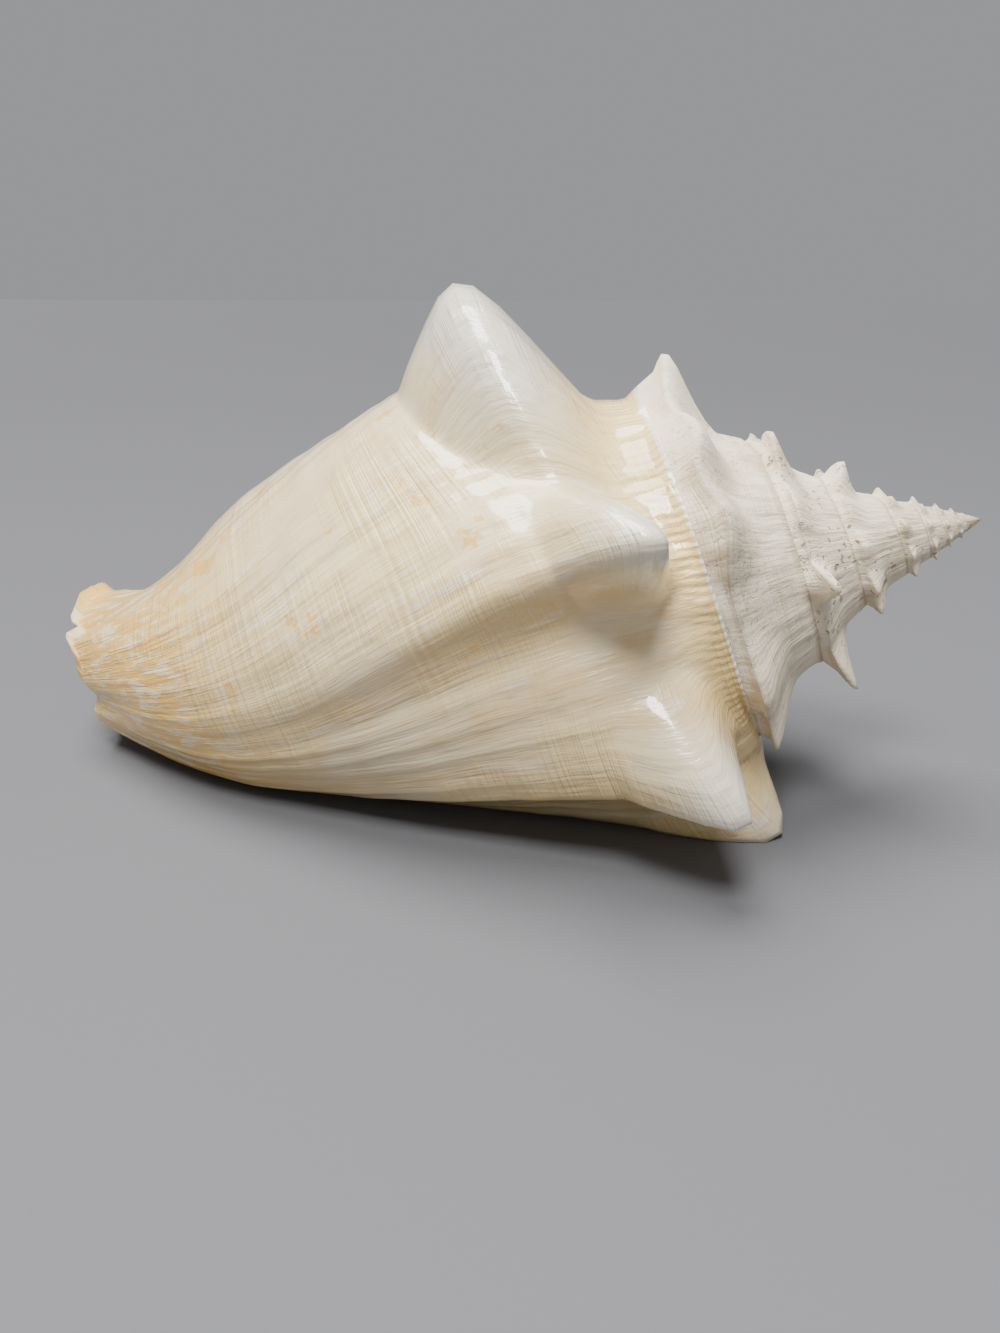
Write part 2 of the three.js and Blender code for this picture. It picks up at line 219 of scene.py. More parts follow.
SECTION_TURNS, SECTION_ROWS = section_table()


def body_profile(turn):
    """Depth, radius and angle of the last whorl at rows 0 to 8, as (row, turn, 3)."""
    seam_row = np.stack([*seam(turn), 360 * turn], -1)[None]
    rows = through(turn, SECTION_TURNS, SECTION_ROWS).transpose(1, 0, 2)
    return np.concatenate([seam_row, rows])


# ------------------------------------------------------------------ spines and ridges
def all_spines():
    """The large spines, the small ones, and even smaller ones on the early whorls."""
    early = np.arange(-3.25, -7.5, -0.112)
    low = SMALL_SPINES + [(t, 0.25 * r) for t, r in zip(early, seam(early)[1])]
    return LARGE_SPINES + [(t, height, 0.04, 0.04, 1, 0.2 * height, 0.15) for t, height in low]


def spine_share(across, along, blunt):
    """1 at a spine's tip and 0 at its foot: a cone with a hollow foot and a rounded tip. The
    distance sqrt(across^2 + along^2) is in half widths; blunt is the tip's rounding."""
    distance = np.sqrt(across ** 2 + along ** 2 + blunt ** 2) - blunt
    left = np.clip(1 - distance, 0, 1)
    return 1.2 * left ** 2 / (left + 0.2)


def spine_push(turn, row):
    """How far spines push the skin outwards, and towards the apex, at arrays of turn and row.
    Only the spines within reach of the turns given are added."""
    out = np.zeros(np.broadcast(turn, row).shape)
    apexward = np.zeros_like(out)
    along = (row - SHOULDER_ROW) / np.where(row < SHOULDER_ROW, 0.85, 1.15)
    low, high = turn.min() - 0.2, turn.max() + 0.2
    for at, height, older, newer, reach, lean, blunt in all_spines():
        if low < at < high:
            across = (turn - at) / np.where(turn < at, older, newer)
            share = spine_share(across, along / reach, blunt)
            out += height * share
            apexward += lean * share ** 1.5
    return out, apexward


def ridge_push(turn, row):
    """Ridges are bell curves across the turn, steep on the side they grew from, that fade
    forward from the shoulder as a wide bell curve along the row."""
    crest = SHOULDER_ROW + 0.3
    along = np.exp(-((row - crest) / np.where(row > crest, 2.3, 0.6)) ** 2)
    out = np.zeros(np.broadcast(turn, row).shape)
    for at, height, older, newer in RIDGES:
        across = (turn - at) / np.where(turn < at, older, newer)
        out += height * along * np.exp(-across ** 2)
    return out * (turn > FIRST_BODY_TURN)


class Noise:
    """Smooth noise of two numbers from a few sine waves of seeded phase."""

    def __init__(self, seed, waves, low, high, slant):
        random = np.random.default_rng(seed)
        self.speed = random.uniform(low, high, waves)
        self.slant = random.uniform(-slant, slant, waves)
        self.phase = random.uniform(0, 2 * math.pi, waves)

    def __call__(self, x, y):
        """Sum of sin(speed * x + slant * y + phase) over the square root of their number, so
        mostly between -1.5 and 1.5."""
        total = sum(np.sin(s * x + a * y + p)
                    for s, a, p in zip(self.speed, self.slant, self.phase))
        return total / math.sqrt(len(self.speed))


GROWTH = Noise(3, 9, 120, 420, 1.2)         # growth lines: fast along the turn
PAUSES = Noise(5, 6, 40, 110, 0.8)          # wider swells where growth paused
CORDS = Noise(7, 6, 5, 14, 9)               # spiral cords: slow along the turn
EDGE = Noise(11, 6, 60, 190, 12)            # broken edges


# ------------------------------------------------------------------ the skin
AXIS = np.array([math.cos(AXIS_TILT), 0, math.sin(AXIS_TILT)])
SIDE = np.array([0, -1.0, 0])
OVER = np.cross(SIDE, AXIS)
APEX = np.array([0, 0, APEX_HEIGHT])


def place(points):
    """From depth, radius and angle to x, y, z: apex - depth * axis + radius * (side * cos +
    over * sin). Near the front end the tube bends off the axis."""
    depth, radius, angle = points[..., 0], points[..., 1], np.radians(points[..., 2])
    bend = np.maximum((depth - 185) / 60, 0) ** 1.6
    beside = radius * np.cos(angle) - 10 * bend
    above = radius * np.sin(angle) + 6 * bend
    return (APEX - depth[..., None] * AXIS + beside[..., None] * SIDE
            + above[..., None] * OVER)


def plain_skin(turns, rows):
    """Depth, radius and angle without spines on a grid (row, turn), turns on the last whorl
    or all before it."""
    if turns[0] < FIRST_BODY_TURN - 1e-6:
        return through(rows, np.arange(5), spire_profile(turns))
    return through(rows, np.arange(9), body_profile(turns))


def relief(turn, row, radius):
    """Fine relief outwards, in proportion to the radius up to a limit: the step where a
    whorl laps the one before, growth lines, swells where growth paused, and spiral cords."""
    lap = LAP * smooth(row / 0.12) * smooth((1.6 - row) / 1.2)
    weathered = np.where(turn > FIRST_BODY_TURN, 1, WORN)
    lines = GROWTH_RELIEF * GROWTH(turn, row) + PAUSE_RELIEF * PAUSES(turn, row)
    cords = CORD_RELIEF * CORDS(3 * turn, 2 * row)
    height = lap + weathered * smooth(row / 0.3) * (lines + cords)
    return np.minimum(radius, RELIEF_RADIUS) * height


def worn_edges(points, turn, row):
    """Waves the lip's edge back and forth, notches the front end with a bell curve and wears
    its rim back unevenly."""
    lip = smooth((turn - 0.5) / 0.06)
    canal = smooth((row - 7.3) / 0.7) * (turn > FIRST_BODY_TURN)
    points[..., 2] += LIP_WAVE * lip * EDGE(0.02 * turn, 2.2 * row)
    notch = NOTCH_DEPTH * np.exp(-((turn - NOTCH_TURN) / 0.02) ** 2)
    wear = 0.9 * (1.5 + EDGE(0.3 * turn, 0.2 * row))
    points[..., 0] -= canal * (notch + wear)


def skin(turns, rows):
    """Plain skin with its spines, ridges and relief. At row 0 it keeps to the whorl before."""
    points = plain_skin(turns, rows)
    turn, row = np.meshgrid(turns, rows)
    spine, lean = spine_push(turn, row)
    own = smooth(row)
    lift = np.clip(1 - row / 0.4, 0, 1) ** 2
    before = spine_push(turn - 1, np.full_like(row, 3.0))[0] * lift
    points[..., 0] -= own * lean
    fine = relief(turn, row, points[..., 1])
    points[..., 1] += own * (spine + ridge_push(turn, row)) + before + fine
    worn_edges(points, turn, row)
    return points


def grid_normals(points):
    """Unit normals of a grid (row, turn, 3), outwards: along turn x along row."""
    along_row, along_turn = np.gradient(points, axis=(0, 1))
    normal = np.cross(along_turn, along_row)
    return normal / np.linalg.norm(normal, axis=-1, keepdims=True)


# ------------------------------------------------------------------ the mesh
class Sheet:
    """Collects vertices, quads and, for each quad corner, its turn and row."""

    def __init__(self):
        self.points = []
        self.count = 0
        self.quads = []
        self.uvs = []
        self.inside = []
        self.spine = []

    def add(self, points, inside=0, spine=0):
        """Adds an array of vertices and gives their numbers in the same shape."""
        flat = points.reshape(-1, 3)
        numbers = np.arange(self.count, self.count + len(flat)).reshape(points.shape[:-1])
        self.points.append(flat)
        self.inside.append(np.broadcast_to(inside, points.shape[:-1]).reshape(-1))
        self.spine.append(np.broadcast_to(spine, points.shape[:-1]).reshape(-1))
        self.count += len(flat)
        return numbers

    def fill(self, numbers, uv):
        """Quads over a grid of vertex numbers (row, turn) with uv of the same shape."""
        corners = [(slice(0, -1), slice(0, -1)), (slice(0, -1), slice(1, None)),
                   (slice(1, None), slice(1, None)), (slice(1, None), slice(0, -1))]
        self.quads.append(np.stack([numbers[c].ravel() for c in corners], -1))
        self.uvs.append(np.stack([uv[c].reshape(-1, 2) for c in corners], 1))


def row_list(spire_rows, body_rows):
    """Rows 0 to 3 between two seams, closer near the seam, then rows 3 to 8."""
    between = np.linspace(0, 1, spire_rows + 1) ** 1.25 * 3
    front = np.linspace(3, FRONT_ROW, body_rows + 1)[1:]
    return between, front


def shell_mesh(per_turn, spire_rows, body_rows, throat_rings, wall):
    """The whole shell as one closed surface: spire, last whorl, lip, throat.

    Row spire_rows of a column is row 0 of the column one turn later, which is the seam."""
    sheet = Sheet()
    columns = int(WHORLS * per_turn)
    turns = LIP_TURN - (columns - np.arange(columns + 1)) / per_turn
    first = columns - per_turn
    between, front = row_list(spire_rows, body_rows)
    rows = np.concatenate([between, front])

    spire = place(skin(turns[:first], between))
    body = place(skin(turns[first:], rows))
    tips = spine_push(*np.meshgrid(turns[first:], rows))[0]
    numbers = np.full((len(rows), columns + 1), -1)
    numbers[:spire_rows, :first] = sheet.add(spire[:-1])
    numbers[:, first:] = sheet.add(body, spine=smooth(tips / 13 - 0.25))
    numbers[spire_rows, :first + 1] = numbers[0, per_turn:]

    uv = np.stack(np.meshgrid(turns, rows), -1)
    sheet.fill(numbers[:spire_rows + 1, :first + 1], uv[:spire_rows + 1, :first + 1])
    sheet.fill(numbers[:, first:], uv[:, first:])
    sheet.apex_loop = np.concatenate([numbers[0, :per_turn], numbers[spire_rows:0:-1, 0]])

    mouth = np.concatenate([numbers[:-1, columns], numbers[-1, columns:first:-1],
                            numbers[:spire_rows:-1, first]])
    throat(sheet, mouth, turns[first:], rows, spire_rows, throat_rings, wall)
    return sheet


def ceiling(inwards, rows, wall):
    """Inner side of the outer wall, inwards turns from the lip: the plain skin moved in by
    the wall along its normal. The hollow gets shorter as it goes in."""
    step = 0.004
    turn = min(LIP_TURN - inwards, LIP_TURN - step)
    at = rows * (1 - 0.55 * smooth(inwards / PASSAGE_TURNS))
    lower = np.maximum(at, 0.01)
    ribbon = place(plain_skin(np.array([turn - step, turn, turn + step]), lower))
    exact = place(plain_skin(np.array([LIP_TURN - inwards]), at))[:, 0]
    normal = grid_normals(ribbon)[:, 1]
    corner = (1 - smooth(at))[:, None]
    return exact - normal * wall * (1 - corner) - 1.6 * wall * corner * AXIS


def floor(inwards, rows, glaze, wall):
    """The whorl before, seen inside the hollow, sinking to the pillar as it goes in."""
    deep = inwards / PASSAGE_TURNS
    profile = plain_skin(np.array([FIRST_BODY_TURN]), rows)[:, 0]
    mouth_front = plain_skin(np.array([FIRST_BODY_TURN]), np.array([8.0]))[0, 0, 0]
    seam_depth, seam_radius = seam(np.array([LIP_TURN - inwards]))[:, 0]
    mouth_depth, mouth_radius = seam(np.array([LIP_TURN]))[:, 0]
    front = mouth_front - 90 * smooth(deep)
    start = seam_depth + 1.6 * wall * glaze
    share = (profile[:, 0] - mouth_depth) / (mouth_front - mouth_depth)
    radius_share = (profile[:, 1] - COLUMELLA_RADIUS) / (mouth_radius - COLUMELLA_RADIUS)
    shrunk = radius_share * (1 - 0.45 * deep * np.clip(2 * share, 0, 1))
    radius = COLUMELLA_RADIUS + (seam_radius - COLUMELLA_RADIUS) * shrunk + CALLUS * glaze
    angle = profile[:, 2] - 360 * inwards
    return place(np.stack([start + (front - start) * share, radius, angle], -1))


def throat(sheet, mouth, turns, rows, spire_rows, rings, wall):
    """Rings from the mouth's edge round the thickness of the lip and into the throat. Each
    runs down the ceiling, round the front canal and back up the floor."""
    down = rows[:-1]
    up = rows[:spire_rows:-1]
    backwards = turns[:0:-1]
    outer_front = place(skin(turns, np.array([FRONT_ROW - 0.02, FRONT_ROW])))
    share = np.linspace(0, 1, len(turns))
    thickness = wall * 0.7 * smooth(5 * (1 - share))[:, None]
    front_rim = outer_front[1, ::-1]
    inner_rim = front_rim - thickness * grid_normals(outer_front)[1, ::-1]
    grow = place(plain_skin(np.array([LIP_TURN - 0.01, LIP_TURN]), down))
    grow = grow[:, 1] - grow[:, 0]
    grow /= np.linalg.norm(grow, axis=-1, keepdims=True) + 1e-9
    grow *= smooth(down)[:, None]

    def ring(inwards, wall_share, push):
        thick = wall * wall_share
        roof = ceiling(inwards, rows, thick)
        top = roof[:-1] + push * grow
        start = roof[-1]
        base = floor(inwards, up, wall_share, wall)
        end = base[0]
        rim = front_rim + (inner_rim - front_rim) * wall_share
        chord = inner_rim[0] + (inner_rim[-1] - inner_rim[0]) * share[:, None]
        bow = (rim - chord) * (1 - smooth(1.6 * inwards / PASSAGE_TURNS))
        bow[0] = 0
        canal = start + (end - start) * share[:, None] + bow - push * AXIS
        return np.concatenate([top, canal[:len(backwards)], base])

    rim_rings = [ring(0, s, p * 1.6) for s, p in ((0.12, 0.55), (0.35, 0.95), (0.65, 0.95),
                                                  (0.88, 0.55))]
    inner = [ring(PASSAGE_TURNS * (i / rings) ** 1.2, 1, 0) for i in range(rings + 1)]
    depth = np.concatenate([np.zeros(len(rim_rings)), np.linspace(0.02, 1, rings + 1)])
    wet = np.concatenate([np.linspace(0.1, 0.6, len(rim_rings)), np.linspace(0.8, 1, rings + 1)])
    points = np.stack(rim_rings + inner)
    numbers = np.vstack([mouth, sheet.add(points, wet[:, None])])
    numbers = np.hstack([numbers, numbers[:, :1]])
    around = np.concatenate([down, 8 + share[:len(backwards)], up, [3]])
    turn = LIP_TURN - PASSAGE_TURNS * np.concatenate([[0], depth])
    uv = np.stack(np.meshgrid(around, turn), -1)[..., ::-1]
    sheet.fill(numbers.T, uv.transpose(1, 0, 2))
    sheet.throat_loop = numbers[-1, :-1]


def fan(sheet, loop, centre, uv, inside):
    """Closes a loop of vertices with a fan of triangles about a centre."""
    middle = sheet.add(np.asarray(centre, float)[None], inside)[0]
    ahead = np.roll(loop, -1)
    triangles = np.stack([np.full(len(loop), middle), ahead, loop], -1)
    return triangles, np.broadcast_to(np.array(uv, float), (len(loop), 3, 2))


def build_shell(props):
    """Makes the shell's object, lined up with the CAD node's box."""
    sheet = shell_mesh(props.per_turn, props.spire_rows, props.body_rows, props.throat_rings,
                       props.wall / MM)
    tip = fan(sheet, sheet.apex_loop, place(np.zeros(3)), (-8, 0), 0)
    loop_points = np.concatenate(sheet.points)[sheet.throat_loop]
    back = fan(sheet, sheet.throat_loop[::-1], loop_points.mean(0), (0, 4), 1)
    points = np.concatenate(sheet.points)
    points[:, 2] = np.maximum(points[:, 2], 0)

    low, high = (np.array(corner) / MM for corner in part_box(NODE))
    middle = (points.min(0) + points.max(0)) / 2
    points[:, :2] += ((low + high) / 2 - middle)[:2]
    points *= MM

    quads = np.concatenate(sheet.quads)
    fans = np.concatenate([tip[0], back[0]])
    mesh = bpy.data.meshes.new("Conch")
    mesh.from_pydata(points.tolist(), [], quads.tolist() + fans.tolist())
    uv = np.concatenate([np.concatenate(sheet.uvs).reshape(-1, 2), tip[1].reshape(-1, 2),
                         back[1].reshape(-1, 2)])
    layer = mesh.uv_layers.new(name="Growth")
    layer.data.foreach_set("uv", uv.astype(np.float32).ravel())
    for name, values in (("inside", sheet.inside), ("spine", sheet.spine)):
        attribute = mesh.attributes.new(name, "FLOAT", "POINT")
        attribute.data.foreach_set("value", np.concatenate(values).astype(np.float32))
    mesh.polygons.foreach_set("use_smooth", np.ones(len(mesh.polygons), bool))
    mesh.update()
    mesh.validate()
    shell = bpy.data.objects.new("Conch", mesh)
    bpy.context.scene.collection.objects.link(shell)
    return shell


# ------------------------------------------------------------------ shader maths
class Wire:
    """A shader socket with arithmetic. Each operator adds a Math node."""

    def __init__(self, graph, socket):
        self.graph = graph
        self.socket = socket

    def math(self, operation, *others):
        return self.graph.node("ShaderNodeMath", {"operation": operation},
                               {i: w for i, w in enumerate((self, *others))})

    def __add__(self, other):
        return self.math("ADD", other)

    def __radd__(self, other):
        return self.graph.value_math("ADD", other, self)

    def __sub__(self, other):
        return self.math("SUBTRACT", other)

    def __rsub__(self, other):
        return self.graph.value_math("SUBTRACT", other, self)

    def __mul__(self, other):
        return self.math("MULTIPLY", other)

    def __rmul__(self, other):
        return self.graph.value_math("MULTIPLY", other, self)

    def step(self, low, high):
        """0 below low, 1 above high, smooth between; low may be the larger."""
        return self.graph.node("ShaderNodeMapRange", {"interpolation_type": "SMOOTHSTEP"},
                               {"Value": self, "From Min": low, "From Max": high})


class Graph:
    """A material's node tree, filled by expressions."""

    def __init__(self, name):
        self.material = bpy.data.materials.new(name)
        self.material.use_nodes = True
        self.tree = self.material.node_tree
        self.tree.nodes.clear()

    def node(self, kind, settings=None, sockets=None, output=0):
        """Adds a node, sets its settings first, then its sockets to values or wires."""
        node = self.tree.nodes.new(kind)
        for key, value in (settings or {}).items():
            setattr(node, key, value)
        for key, value in (sockets or {}).items():
            if isinstance(value, Wire):
                self.tree.links.new(value.socket, node.inputs[key])
            else:
                node.inputs[key].default_value = value
        return Wire(self, node.outputs[output]) if node.outputs else None

    def value_math(self, operation, first, second):
        return self.node("ShaderNodeMath", {"operation": operation}, {0: first, 1: second})

    def vector(self, x, y, z=0.0):
        return self.node("ShaderNodeCombineXYZ", {}, {"X": x, "Y": y, "Z": z})

    def noise(self, vector, scale, detail, roughness=0.5):
        return self.node("ShaderNodeTexNoise", {}, {
            "Vector": vector, "Scale": scale, "Detail": detail, "Roughness": roughness})

    def mix(self, factor, first, second):
        """first where factor is 0, second where it is 1."""
        sockets = {"Factor": factor, 6: first, 7: second}
        return self.node("ShaderNodeMix", {"data_type": "RGBA"}, sockets, 2)

    def bump(self, height, strength, distance, normal=None):
        sockets = {"Height": height, "Strength": strength, "Distance": distance}
        if normal is not None:
            sockets["Normal"] = normal
        return self.node("ShaderNodeBump", {}, sockets)


def rgba(colour):
    """A colour with full alpha."""
    return (*colour, 1.0)


def shell_material(finish):
    """The shell's finish: glossy ivory on the last whorl, ochre at the front, chalk on the
    spire and a warm glaze in the throat."""
    g = Graph("Conch.Skin")
    growth = g.node("ShaderNodeUVMap", {"uv_map": "Growth"})
    turn = g.node("ShaderNodeSeparateXYZ", {}, {"Vector": growth})
    row = Wire(g, turn.socket.node.outputs["Y"])
    spot_at = g.node("ShaderNodeTexCoord", {}, {}, output=3)
    inside = g.node("ShaderNodeAttribute", {"attribute_name": "inside"}, {}, output=2)
    spine = g.node("ShaderNodeAttribute", {"attribute_name": "spine"}, {}, output=2)

    # Growth lines follow the turn and run along the row, in three sizes.
    sway = g.noise(g.vector(turn * 6.0, row * 0.5), 1.0, 2.0) * 0.012
    grown = turn + sway
    fine = g.noise(g.vector(grown * 300.0, row * 1.3), 1.0, 3.0, 0.6)
    middle = g.noise(g.vector(grown * 95.0, row * 0.8), 1.0, 3.0, 0.6)
    broad = g.noise(g.vector(grown * 26.0, row * 0.45), 1.0, 3.0, 0.6)
    cords = g.noise(g.vector(turn * 2.0, row * 22.0), 1.0, 2.0, 0.6)
    cloud = g.noise(spot_at, 26.0, 4.0, 0.55)
    dots = g.noise(spot_at, 75.0, 4.0, 0.65)

    body = turn.step(-0.443, -0.437)
    spire = 1.0 - body
    ramp = row.step(2.0, 0.9) * body
    front = row.step(5.7, 7.1) * body
    # Painted shade: marks the older side of the ridge at turn 0.067, where the growth streaks are
    # laid stronger.
    under = turn.step(0.062, 0.02) * body

    # Ivory skin, warmer in clouds and in streaks where growth paused, with white growth lines and
    # small ochre specks. Painted shade deepens the streaks on the older side of the ridge at turn
    # 0.067 and lays peach in the valley below it. A painted highlight lays a white net where
    # growth lines and spiral cords cross.
    colour = g.mix(cloud.step(0.32, 0.62), rgba(finish.ivory), rgba(finish.cream))
    streak = broad.step(0.40, 0.66) * 0.55 + middle.step(0.44, 0.70) * 0.45
    # The streaks are the skin's own colour; their extra strength on the older side of the ridge is
    # painted shade.
    colour = g.mix(streak * (0.42 + 0.36 * under) * body, colour, rgba(finish.peach_streak_and_shade))
    # Painted shade: peach laid in the valley below the ridge at turn 0.067.
    painted_valley_shade = turn.step(0.064, 0.054) * turn.step(0.012, 0.05) * row.step(6.5, 2.6)
    colour = g.mix(painted_valley_shade * row.step(1.9, 2.7) * 0.5, colour, rgba(finish.peach_streak_and_shade))
    colour = g.mix(middle.step(0.56, 0.72) * body * 0.45, colour, rgba(finish.white))
    banded = cloud.step(0.44, 0.60)
    # Painted highlight: white squares where growth lines and spiral cords cross, standing in for
    # the shine of the glossy skin.
    painted_highlight_net = fine.step(0.5, 0.62) * cords.step(0.48, 0.58) * turn.step(0.02, 0.08) * banded
    colour = g.mix(painted_highlight_net * body * 0.45, colour, rgba(finish.white))
    speck = dots.step(0.62, 0.65) * turn.step(0.0, 0.08) * row.step(2.0, 2.6) * body
    colour = g.mix(speck * 0.8, colour, rgba(finish.ochre))

    # The ramp beside the seam is yellow, with a thin white rim on the seam itself.
    colour = g.mix(ramp * (0.62 + 0.4 * middle), colour, rgba(finish.ramp))
    colour = g.mix(row.step(0.16, 0.06) * body, colour, rgba(finish.white))
    colour = g.mix(spine * body * 0.7, colour, rgba(finish.tip))

    # The front end is stained ochre, with chalky patches.
    stained = front * cloud.step(0.80, 0.50)
    colour = g.mix(stained * 0.92, colour, rgba(finish.ochre))
    flakes = g.noise(g.vector(grown * 60.0, row * 3.0), 1.0, 4.0, 0.7)
    colour = g.mix(front * flakes.step(0.50, 0.58) * 0.8, colour, rgba(finish.ivory))

    # The spire is chalky and pinkish, with grey-brown stains and dark pits.
    stain = g.noise(spot_at, 55.0, 5.0, 0.65).step(0.46, 0.72)
    chalk = g.mix(stain * 0.75, rgba(finish.chalk), rgba(finish.stain))
    blush = g.noise(spot_at, 34.0, 2.0).step(0.5, 0.68) * turn.step(-1.5, -1.2)
    chalk = g.mix(blush * 0.5, chalk, rgba(finish.blush))
    old = turn.step(-1.3, -2.2)
    pits = g.noise(spot_at, 620.0, 2.0, 0.5).step(0.60, 0.68)
    patchy = g.noise(spot_at, 60.0, 2.0).step(0.42, 0.60) * (0.25 + 0.75 * old)
    chalk = g.mix(pits * patchy * 0.9, chalk, rgba(finish.pit))
    # Darker along the seams between the spire's whorls, in the stain colour.
    crevice = row.step(0.22, 0.0)
    chalk = g.mix(crevice * 0.85, chalk, rgba(finish.stain))
    colour = g.mix(spire * (1.0 - inside), colour, chalk)
    colour = g.mix(inside.step(0.3, 0.9), colour, rgba(finish.throat))

    # Relief: growth lines everywhere, spiral cords, pleats on the ramp, pits on the spire.
    skin = 1.0 - inside
    height = (fine * 0.45 + middle * 0.7 + broad * 0.8 + cords * banded * 0.9) * skin
    pleat = g.value_math("SINE", turn * 850.0 + cloud * 26.0, 0.0)
    height = height + pleat * ramp * row.step(1.5, 0.5) * 0.15
    height = height + flakes * front * 0.8 - pits * patchy * spire * 0.9
    relief = g.bump(height, 0.9, 0.0008)
    grain = g.noise(spot_at, 1100.0, 3.0, 0.6)
    normal = g.bump(grain * spire, 0.4, 0.0003, relief)

    roughness = 0.24 + spire * 0.38 + middle * 0.12 - spine * body * 0.12
    coat = body * skin * 0.8
    shader = g.node("ShaderNodeBsdfPrincipled", {}, {
        "Base Color": colour, "Roughness": roughness, "Normal": normal,
        "Subsurface Weight": 0.10, "Subsurface Radius": (1.0, 0.6, 0.35),
        "Subsurface Scale": 0.003, "Coat Weight": coat, "Coat Roughness": 0.07})
    g.node("ShaderNodeOutputMaterial", {}, {"Surface": shader})
    return g.material


# ------------------------------------------------------------------ the studio
def floor_material(colour):
    """A plain matt floor."""
    g = Graph("Studio.Floor")
    shader = g.node("ShaderNodeBsdfPrincipled", {}, {"Base Color": rgba(colour), "Roughness": 0.8})
    g.node("ShaderNodeOutputMaterial", {}, {"Surface": shader})
    return g.material


def even_light(name, strength, angle, towards):
    """A wide distant light, as bright at the back of the floor as beside the shell."""
    data = bpy.data.lights.new(name, "SUN")
    data.energy = strength
    data.angle = angle
    light = bpy.data.objects.new(name, data)
    light.rotation_euler = Vector(towards).to_track_quat("Z", "Y").to_euler()
    bpy.context.scene.collection.objects.link(light)


def soft_light(name, energy, size, at, aim):
    """A square area light at a point, aimed at another."""
    data = bpy.data.lights.new(name, "AREA")
    data.energy = energy
    data.size = size
    light = bpy.data.objects.new(name, data)
    light.location = at
    light.rotation_euler = (Vector(aim) - Vector(at)).to_track_quat("-Z", "Y").to_euler()
    bpy.context.scene.collection.objects.link(light)


# ------------------------------------------------------------------ the add-on
class ConchShellProperties(bpy.types.PropertyGroup):
    """Sizes of the shell's mesh."""

    per_turn: IntProperty(name="Columns per turn", description="Mesh columns in one turn",
                          default=300, min=24)
    spire_rows: IntProperty(name="Spire rows", description="Mesh rows between two seams",
                            default=14, min=4)
    body_rows: IntProperty(name="Body rows", description="Further mesh rows on the last whorl",
                           default=130, min=8)
    throat_rings: IntProperty(name="Throat rings", description="Mesh rings inside the mouth",
                              default=18, min=4)
    wall: FloatProperty(name="Wall", description="Thickness of the outer wall",
                        default=5.5 * MM, min=0.001, unit="LENGTH")


class ConchFinishProperties(bpy.types.PropertyGroup):
    """Colours of the shell."""

    ivory: FloatVectorProperty(name="Ivory", description="Clean glossy skin", subtype="COLOR",
                               default=(0.88, 0.75, 0.50))
    cream: FloatVectorProperty(name="Cream", description="Warmer clouds in the skin",
                               subtype="COLOR", default=(0.88, 0.68, 0.34))
    # White also paints the net of highlights where growth lines and spiral cords cross.
    white: FloatVectorProperty(name="White", description="Growth lines and the seam's rim",
                               subtype="COLOR", default=(0.90, 0.86, 0.76))
    # Peach is also painted shade, in the valley below the ridge at turn 0.067 and in the stronger
    # streaks on its older side.
    peach_streak_and_shade: FloatVectorProperty(name="Peach", description="Streaks along the growth lines",
                               subtype="COLOR", default=(0.66, 0.38, 0.12))
    ramp: FloatVectorProperty(name="Ramp", description="Yellow ramp beside the seam",
                              subtype="COLOR", default=(0.93, 0.67, 0.27))
    tip: FloatVectorProperty(name="Tip", description="Polished spines of the last whorl",
                             subtype="COLOR", default=(0.82, 0.81, 0.72))
    ochre: FloatVectorProperty(name="Ochre", description="Stained front end", subtype="COLOR",
                               default=(0.84, 0.48, 0.09))
    chalk: FloatVectorProperty(name="Chalk", description="Weathered spire", subtype="COLOR",
                               default=(0.84, 0.73, 0.55))
    blush: FloatVectorProperty(name="Blush", description="Pink clouds on the spire",
                               subtype="COLOR", default=(0.82, 0.62, 0.47))
    # Stain also darkens the seams between the spire's whorls.
    stain: FloatVectorProperty(name="Stain", description="Dirt in the weathered spire",
                               subtype="COLOR", default=(0.50, 0.38, 0.25))
    pit: FloatVectorProperty(name="Pit", description="Bottoms of the pits", subtype="COLOR",
                             default=(0.24, 0.19, 0.14))
    throat: FloatVectorProperty(name="Throat", description="Glaze inside the mouth",
                                subtype="COLOR", default=(0.80, 0.50, 0.36))


class ConchStageProperties(bpy.types.PropertyGroup):
    """The camera, floor and lights."""

    azimuth: FloatProperty(name="Azimuth", description="Direction the camera looks in",
                           default=math.radians(6.18), subtype="ANGLE")
    pitch: FloatProperty(name="Pitch", description="How far the camera looks down",
                         default=math.radians(21.83), subtype="ANGLE")
    beside: FloatProperty(name="Beside", description="Camera to the right of the middle",
                          default=33.6 * MM, unit="LENGTH")
    back: FloatProperty(name="Back", description="Camera in front of the middle",
                        default=269.5 * MM, unit="LENGTH")
    height: FloatProperty(name="Height", description="Camera height over the floor",
                          default=131.4 * MM, unit="LENGTH")
    lens: FloatProperty(name="Lens", description="Focal length in millimetres", default=27.0)
    floor_colour: FloatVectorProperty(name="Floor", description="Colour of the floor",
                                      subtype="COLOR", default=(0.115, 0.115, 0.122))
    key: FloatProperty(name="Key light", description="Strength of the large distant light",
                       default=6.4)
    fill: FloatProperty(name="Fill light", description="Power of the small soft light",
                        default=10.0)
    sky: FloatProperty(name="Sky", description="Strength of the even light all round",
                       default=0.42)


class CONCH_OT_shell(bpy.types.Operator):
    """Make the shell and its finish in place of the CAD node"""

    bl_idname = "conch.shell"
    bl_label = "Shell"

    def execute(self, context):
        shell = build_shell(context.scene.conch_shell)
        shell.data.materials.append(shell_material(context.scene.conch_finish))
        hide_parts(NODE)
        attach(shell, BODY)
        return {"FINISHED"}


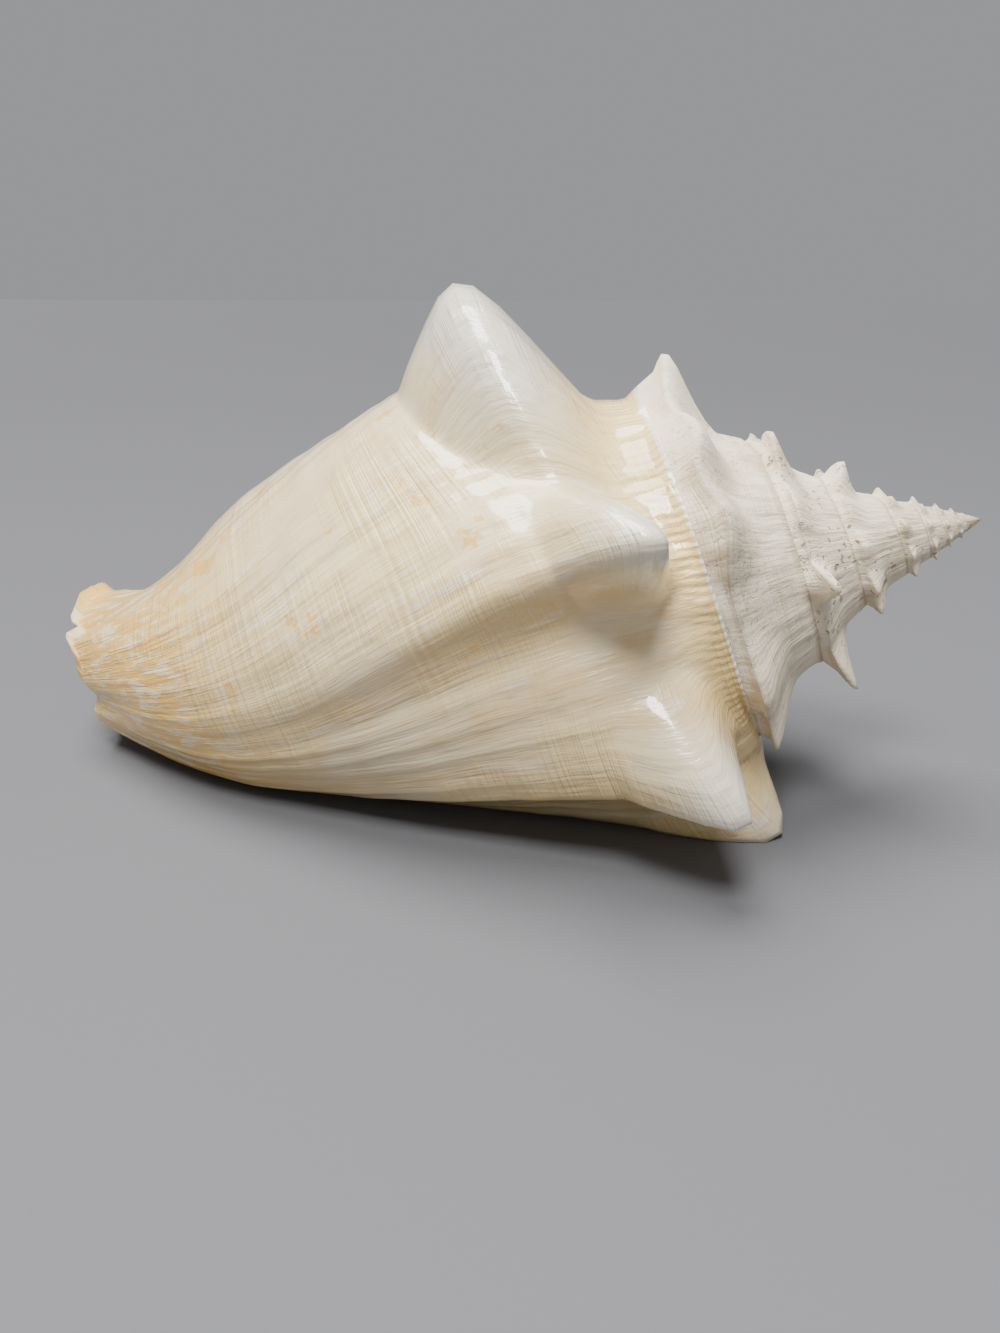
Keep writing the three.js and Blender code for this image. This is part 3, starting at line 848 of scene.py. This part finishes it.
class CONCH_OT_stage(bpy.types.Operator):
    """Make the floor, the soft lights and the camera"""

    bl_idname = "conch.stage"
    bl_label = "Stage"

    def execute(self, context):
        stage = context.scene.conch_stage
        mesh = bpy.data.meshes.new("Studio.Floor")
        reach = 4.0
        mesh.from_pydata([(-reach, -reach, 0), (reach, -reach, 0), (reach, reach, 0),
                          (-reach, reach, 0)], [], [(0, 1, 2, 3)])
        mesh.materials.append(floor_material(stage.floor_colour))
        ground = bpy.data.objects.new("Studio.Floor", mesh)
        context.scene.collection.objects.link(ground)

        low, high = CAD_BOX
        middle = (low + high) / 2
        even_light("Studio.Key", stage.key, math.radians(35), (-0.25, 0.15, 1))
        soft_light("Studio.Fill", stage.fill, 0.25, middle + Vector((0, -0.45, 0.75)), middle)

        world = bpy.data.worlds.new("Studio.World")
        world.use_nodes = True
        background = world.node_tree.nodes["Background"]
        background.inputs["Color"].default_value = (0.8, 0.82, 0.85, 1)
        background.inputs["Strength"].default_value = stage.sky
        context.scene.world = world

        data = bpy.data.cameras.new("Studio.Camera")
        data.sensor_width = 36
        data.lens = stage.lens
        camera = bpy.data.objects.new("Studio.Camera", data)
        turn = Matrix.Rotation(stage.azimuth, 3, "Z")
        tilt = Matrix.Rotation(math.pi / 2 - stage.pitch, 3, "X")
        camera.location = (middle.x + stage.beside, middle.y - stage.back, stage.height)
        camera.rotation_euler = (turn @ tilt).to_euler()
        context.scene.collection.objects.link(camera)
        context.scene.camera = camera
        return {"FINISHED"}


class CONCH_PT_panel(bpy.types.Panel):
    """The shell's and the studio's settings"""

    bl_label = "Queen Conch"
    bl_idname = "CONCH_PT_panel"
    bl_space_type = "VIEW_3D"
    bl_region_type = "UI"
    bl_category = "Conch"

    def draw(self, context):
        for name, operator in (("conch_shell", "conch.shell"), ("conch_finish", None),
                               ("conch_stage", "conch.stage")):
            group = getattr(context.scene, name)
            box = self.layout.box()
            for key in group.bl_rna.properties.keys():
                if key not in {"rna_type", "name"}:
                    box.prop(group, key)
            if operator:
                box.operator(operator)


CLASSES = (ConchShellProperties, ConchFinishProperties, ConchStageProperties, CONCH_OT_shell,
           CONCH_OT_stage, CONCH_PT_panel)
GROUPS = {"conch_shell": ConchShellProperties, "conch_finish": ConchFinishProperties,
          "conch_stage": ConchStageProperties}


def register():
    for cls in CLASSES:
        bpy.utils.register_class(cls)
    for name, group in GROUPS.items():
        setattr(bpy.types.Scene, name, PointerProperty(type=group))


def unregister():
    for name in GROUPS:
        delattr(bpy.types.Scene, name)
    for cls in reversed(CLASSES):
        bpy.utils.unregister_class(cls)


def main():
    register()
    bpy.ops.conch.shell()
    bpy.ops.conch.stage()


if __name__ == "__main__":
    main()
